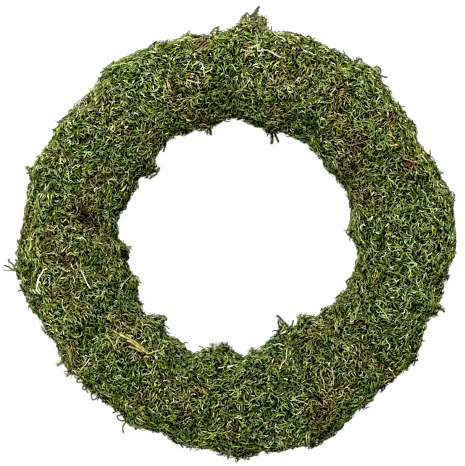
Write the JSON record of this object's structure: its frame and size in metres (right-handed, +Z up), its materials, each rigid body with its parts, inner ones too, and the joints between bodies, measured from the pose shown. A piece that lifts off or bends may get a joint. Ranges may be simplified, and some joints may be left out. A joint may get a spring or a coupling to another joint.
{
  "type": "moss wreath",
  "caption": "Round wreath of curly green moss bound with thin wire on a straw ring, lying flat, for decorating a door, wall or table.",
  "frame": {"origin": "on the table that the wreath lies on, under the middle of the box round the whole wreath", "axes": "+Z up through the wreath's hole, +Y towards the top of the wreath as it hangs, +X to the right seen from the front, which faces up"},
  "size_m": [0.3185, 0.3227, 0.0679],
  "materials": {
    "dried_moss": "matte dried moss, curly, yellow-green tips over dark green",
    "straw": "dry bundled straw, matte",
    "green_wire": "thin lacquered binding wire, dark green"
  },
  "bodies": {
    "root": {"straw_ring": "straw", "binding_wire": "green_wire", "moss_mat_01": "dried_moss", "moss_mat_02": "dried_moss", "moss_mat_03": "dried_moss", "moss_mat_04": "dried_moss", "moss_mat_05": "dried_moss", "moss_mat_06": "dried_moss", "moss_mat_07": "dried_moss", "moss_mat_08": "dried_moss", "moss_mat_09": "dried_moss", "moss_mat_10": "dried_moss", "moss_mat_11": "dried_moss", "moss_mat_12": "dried_moss", "moss_mat_13": "dried_moss", "moss_mat_14": "dried_moss"}
  },
  "joints": []
}
